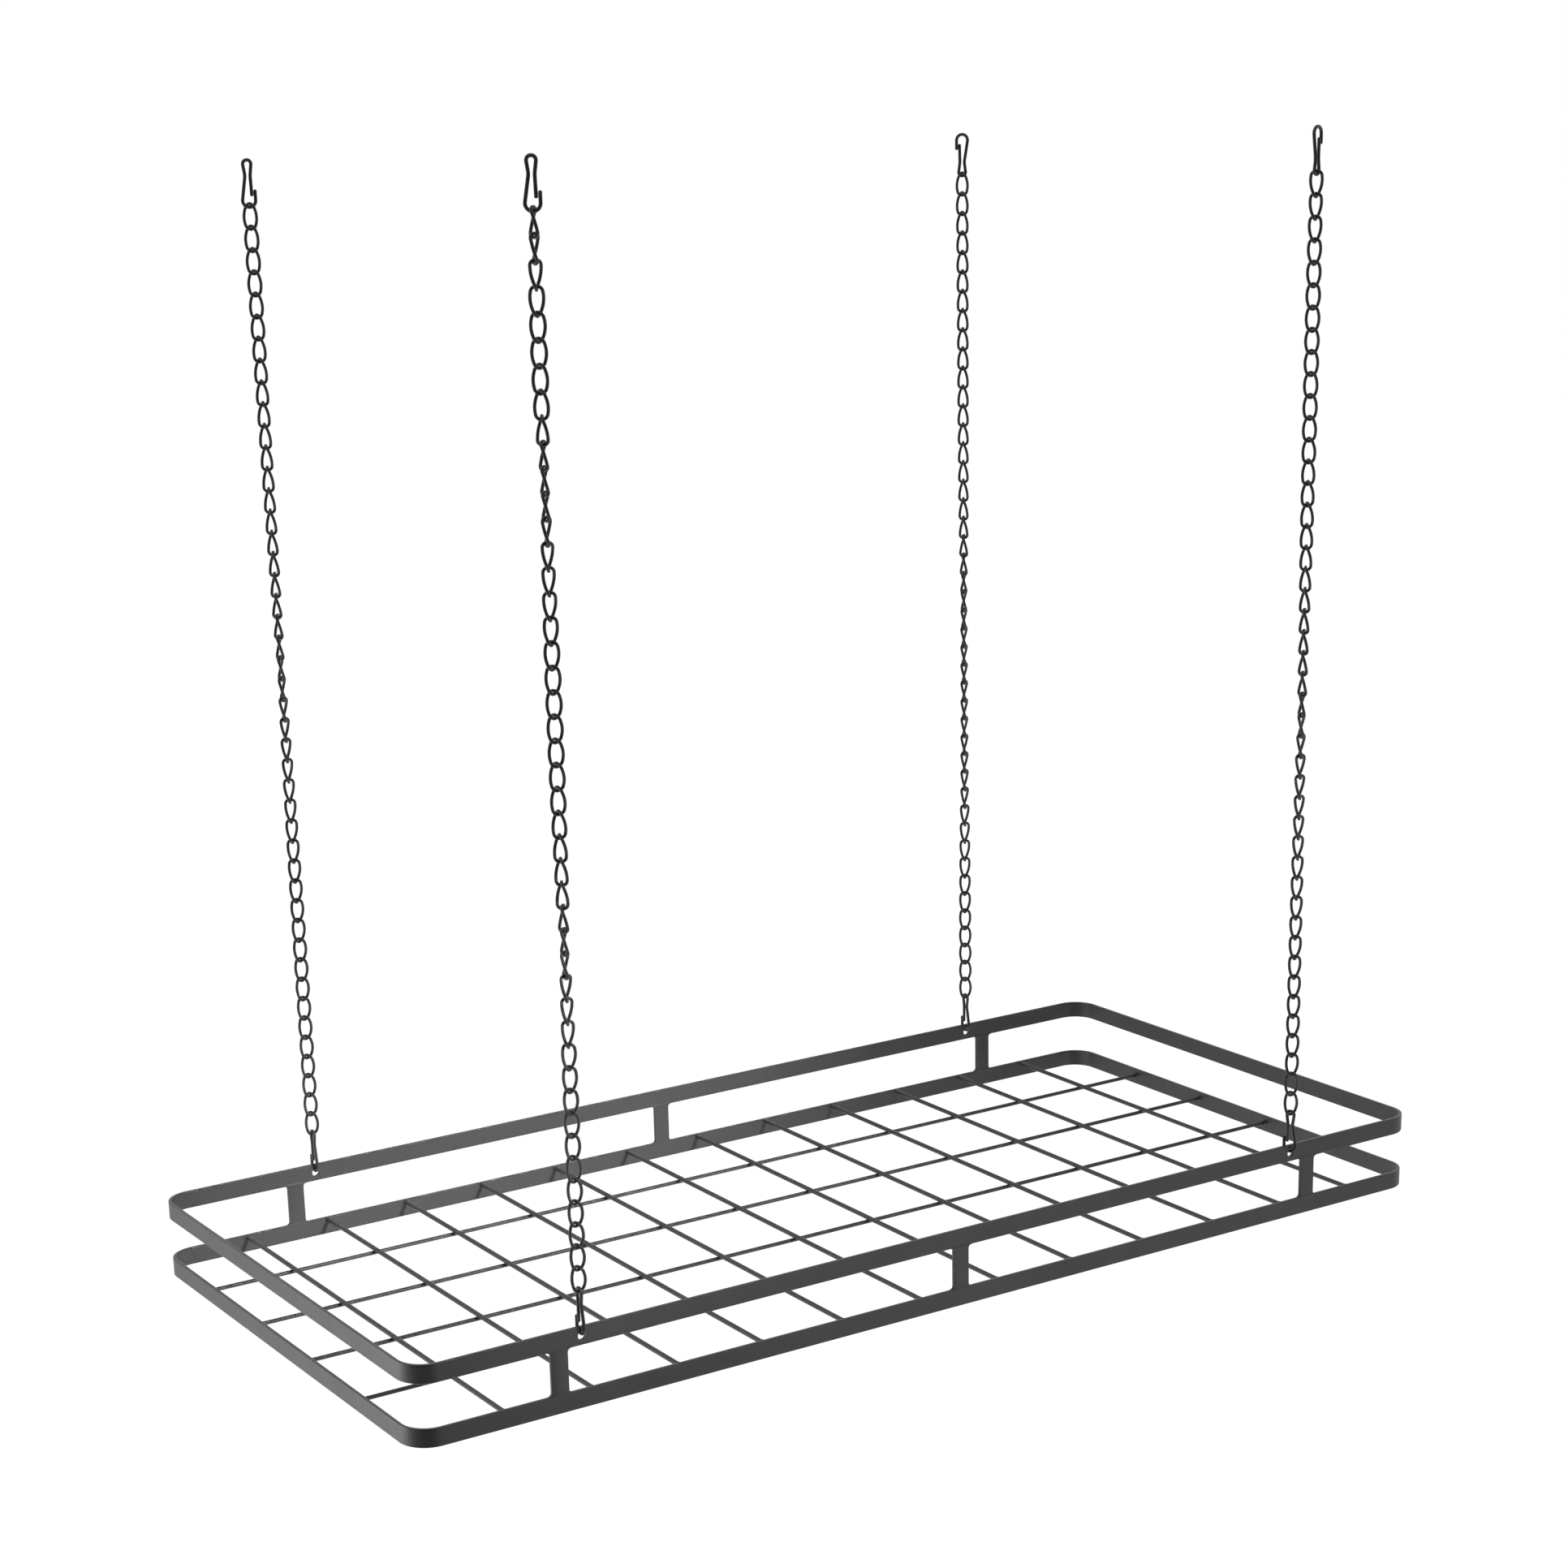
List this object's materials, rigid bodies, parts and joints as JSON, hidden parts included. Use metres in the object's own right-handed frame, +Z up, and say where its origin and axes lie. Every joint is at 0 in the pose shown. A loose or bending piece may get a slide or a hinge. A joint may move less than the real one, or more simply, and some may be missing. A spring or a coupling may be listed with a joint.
{
  "type": "hanging pot rack",
  "caption": "Rectangular flat-bar pot rack with two tiers and a wire grid, hung level from the ceiling on twisted-link chains with wire snap hooks.",
  "frame": {"origin": "the middle of the four points where the ceiling's hooks carry the top snap hooks", "axes": "+X along the rack to the right in the picture, +Y across it to the back, +Z up"},
  "size_m": [1, 0.4808, 0.9142],
  "materials": {
    "bar_steel": "matte dark grey powder coat",
    "grid_steel": "matte dark grey powder coat",
    "chain_steel": "satin black powder coat",
    "hook_steel": "satin black powder coat"
  },
  "bodies": {
    "ceiling_hooks": {"top_hook_back_left": "hook_steel", "top_hook_front_left": "hook_steel", "top_hook_back_right": "hook_steel", "top_hook_front_right": "hook_steel"},
    "rack": {"upper_frame": "bar_steel", "lower_frame": "bar_steel", "post_front_left": "bar_steel", "post_front_middle": "bar_steel", "post_front_right": "bar_steel", "post_back_left": "bar_steel", "post_back_middle": "bar_steel", "post_back_right": "bar_steel", "cross_wire_01": "grid_steel", "cross_wire_02": "grid_steel", "cross_wire_03": "grid_steel", "cross_wire_04": "grid_steel", "cross_wire_05": "grid_steel", "cross_wire_06": "grid_steel", "cross_wire_07": "grid_steel", "cross_wire_08": "grid_steel", "cross_wire_09": "grid_steel", "cross_wire_10": "grid_steel", "cross_wire_11": "grid_steel", "cross_wire_12": "grid_steel", "long_wire_01": "grid_steel", "long_wire_02": "grid_steel", "long_wire_03": "grid_steel", "long_wire_04": "grid_steel"},
    "top_link_front_left": {"top_link_front_left": "chain_steel"},
    "chain_front_left": {"chain_front_left": "chain_steel"},
    "bottom_hook_front_left": {"bottom_hook_front_left": "hook_steel"},
    "top_link_back_left": {"top_link_back_left": "chain_steel"},
    "chain_back_left": {"chain_back_left": "chain_steel"},
    "bottom_hook_back_left": {"bottom_hook_back_left": "hook_steel"},
    "top_link_back_right": {"top_link_back_right": "chain_steel"},
    "chain_back_right": {"chain_back_right": "chain_steel"},
    "bottom_hook_back_right": {"bottom_hook_back_right": "hook_steel"},
    "top_link_front_right": {"top_link_front_right": "chain_steel"},
    "chain_front_right": {"chain_front_right": "chain_steel"},
    "bottom_hook_front_right": {"bottom_hook_front_right": "hook_steel"},
    "top_hook_arm_back_left": {"top_hook_arm_back_left": "hook_steel"},
    "top_hook_arm_front_left": {"top_hook_arm_front_left": "hook_steel"},
    "top_hook_arm_back_right": {"top_hook_arm_back_right": "hook_steel"},
    "top_hook_arm_front_right": {"top_hook_arm_front_right": "hook_steel"},
    "bottom_hook_arm_back_left": {"bottom_hook_arm_back_left": "hook_steel"},
    "bottom_hook_arm_front_left": {"bottom_hook_arm_front_left": "hook_steel"},
    "bottom_hook_arm_back_right": {"bottom_hook_arm_back_right": "hook_steel"},
    "bottom_hook_arm_front_right": {"bottom_hook_arm_front_right": "hook_steel"}
  },
  "joints": [
    {"name": "sway_lengthwise", "type": "hinge", "parent": "ceiling_hooks", "child": "top_link_front_left", "pos_m": [-0.355, -0.2335, -0.03358], "axis": [0, 1, 0], "range_deg": [-15, 15]},
    {"name": "sway_sideways", "type": "hinge", "parent": "top_link_front_left", "child": "chain_front_left", "pos_m": [-0.355, -0.2335, -0.0509], "axis": [1, 0, 0], "range_deg": [-15, 15]},
    {"name": "hook_level_front_left", "type": "hinge", "parent": "chain_front_left", "child": "bottom_hook_front_left", "pos_m": [-0.355, -0.2335, -0.81785], "axis": [1, 0, 0], "range_deg": [-15, 15]},
    {"name": "rack_level", "type": "hinge", "parent": "bottom_hook_front_left", "child": "rack", "pos_m": [-0.355, -0.2335, -0.8514], "axis": [0, 1, 0], "range_deg": [-15, 15]},
    {"name": "link_swing_back_left", "type": "hinge", "parent": "ceiling_hooks", "child": "top_link_back_left", "pos_m": [-0.355, 0.2335, -0.03358], "axis": [0, 1, 0], "range_deg": [-15, 15]},
    {"name": "chain_swing_back_left", "type": "hinge", "parent": "top_link_back_left", "child": "chain_back_left", "pos_m": [-0.355, 0.2335, -0.0509], "axis": [1, 0, 0], "range_deg": [-15, 15]},
    {"name": "hook_level_back_left", "type": "hinge", "parent": "chain_back_left", "child": "bottom_hook_back_left", "pos_m": [-0.355, 0.2335, -0.81785], "axis": [1, 0, 0], "range_deg": [-15, 15]},
    {"name": "link_swing_back_right", "type": "hinge", "parent": "ceiling_hooks", "child": "top_link_back_right", "pos_m": [0.355, 0.2335, -0.03358], "axis": [0, 1, 0], "range_deg": [-15, 15]},
    {"name": "chain_swing_back_right", "type": "hinge", "parent": "top_link_back_right", "child": "chain_back_right", "pos_m": [0.355, 0.2335, -0.0509], "axis": [1, 0, 0], "range_deg": [-15, 15]},
    {"name": "hook_level_back_right", "type": "hinge", "parent": "chain_back_right", "child": "bottom_hook_back_right", "pos_m": [0.355, 0.2335, -0.81785], "axis": [1, 0, 0], "range_deg": [-15, 15]},
    {"name": "link_swing_front_right", "type": "hinge", "parent": "ceiling_hooks", "child": "top_link_front_right", "pos_m": [0.355, -0.2335, -0.03358], "axis": [0, 1, 0], "range_deg": [-15, 15]},
    {"name": "chain_swing_front_right", "type": "hinge", "parent": "top_link_front_right", "child": "chain_front_right", "pos_m": [0.355, -0.2335, -0.0509], "axis": [1, 0, 0], "range_deg": [-15, 15]},
    {"name": "hook_level_front_right", "type": "hinge", "parent": "chain_front_right", "child": "bottom_hook_front_right", "pos_m": [0.355, -0.2335, -0.81785], "axis": [1, 0, 0], "range_deg": [-15, 15]},
    {"name": "top_snap_back_left", "type": "hinge", "parent": "ceiling_hooks", "child": "top_hook_arm_back_left", "pos_m": [-0.35194, 0.23329, -0.0046], "axis": [0.0698, 0.9976, 0], "range_deg": [0, 9], "stiffness_Nm_per_rad": 0.05},
    {"name": "top_snap_front_left", "type": "hinge", "parent": "ceiling_hooks", "child": "top_hook_arm_front_left", "pos_m": [-0.35279, -0.23563, -0.0046], "axis": [0.6947, 0.7193, 0], "range_deg": [0, 9], "stiffness_Nm_per_rad": 0.05},
    {"name": "top_snap_back_right", "type": "hinge", "parent": "ceiling_hooks", "child": "top_hook_arm_back_right", "pos_m": [0.352, 0.23414, -0.029], "axis": [0.2079, 0.9781, 0], "range_deg": [0, 9], "stiffness_Nm_per_rad": 0.05},
    {"name": "top_snap_front_right", "type": "hinge", "parent": "ceiling_hooks", "child": "top_hook_arm_front_right", "pos_m": [0.35794, -0.2326, -0.029], "axis": [0.2924, -0.9563, 0], "range_deg": [0, 9], "stiffness_Nm_per_rad": 0.05},
    {"name": "bottom_snap_back_left", "type": "hinge", "parent": "bottom_hook_back_left", "child": "bottom_hook_arm_back_left", "pos_m": [-0.355, 0.23657, -0.821], "axis": [-1, 0, 0], "range_deg": [0, 9], "stiffness_Nm_per_rad": 0.05},
    {"name": "bottom_snap_front_left", "type": "hinge", "parent": "bottom_hook_front_left", "child": "bottom_hook_arm_front_left", "pos_m": [-0.355, -0.23043, -0.821], "axis": [-1, 0, 0], "range_deg": [0, 9], "stiffness_Nm_per_rad": 0.05},
    {"name": "bottom_snap_back_right", "type": "hinge", "parent": "bottom_hook_back_right", "child": "bottom_hook_arm_back_right", "pos_m": [0.355, 0.23657, -0.821], "axis": [-1, 0, 0], "range_deg": [0, 9], "stiffness_Nm_per_rad": 0.05},
    {"name": "bottom_snap_front_right", "type": "hinge", "parent": "bottom_hook_front_right", "child": "bottom_hook_arm_front_right", "pos_m": [0.35395, -0.23061, -0.821], "axis": [-0.9397, -0.342, 0], "range_deg": [0, 9], "stiffness_Nm_per_rad": 0.05}
  ],
  "couplings": [
    {"joint": "hook_level_front_left", "follows": "sway_sideways", "ratio": -1},
    {"joint": "rack_level", "follows": "sway_lengthwise", "ratio": -1},
    {"joint": "link_swing_back_left", "follows": "sway_lengthwise", "ratio": 1},
    {"joint": "chain_swing_back_left", "follows": "sway_sideways", "ratio": 1},
    {"joint": "hook_level_back_left", "follows": "sway_sideways", "ratio": -1},
    {"joint": "link_swing_back_right", "follows": "sway_lengthwise", "ratio": 1},
    {"joint": "chain_swing_back_right", "follows": "sway_sideways", "ratio": 1},
    {"joint": "hook_level_back_right", "follows": "sway_sideways", "ratio": -1},
    {"joint": "link_swing_front_right", "follows": "sway_lengthwise", "ratio": 1},
    {"joint": "chain_swing_front_right", "follows": "sway_sideways", "ratio": 1},
    {"joint": "hook_level_front_right", "follows": "sway_sideways", "ratio": -1}
  ]
}
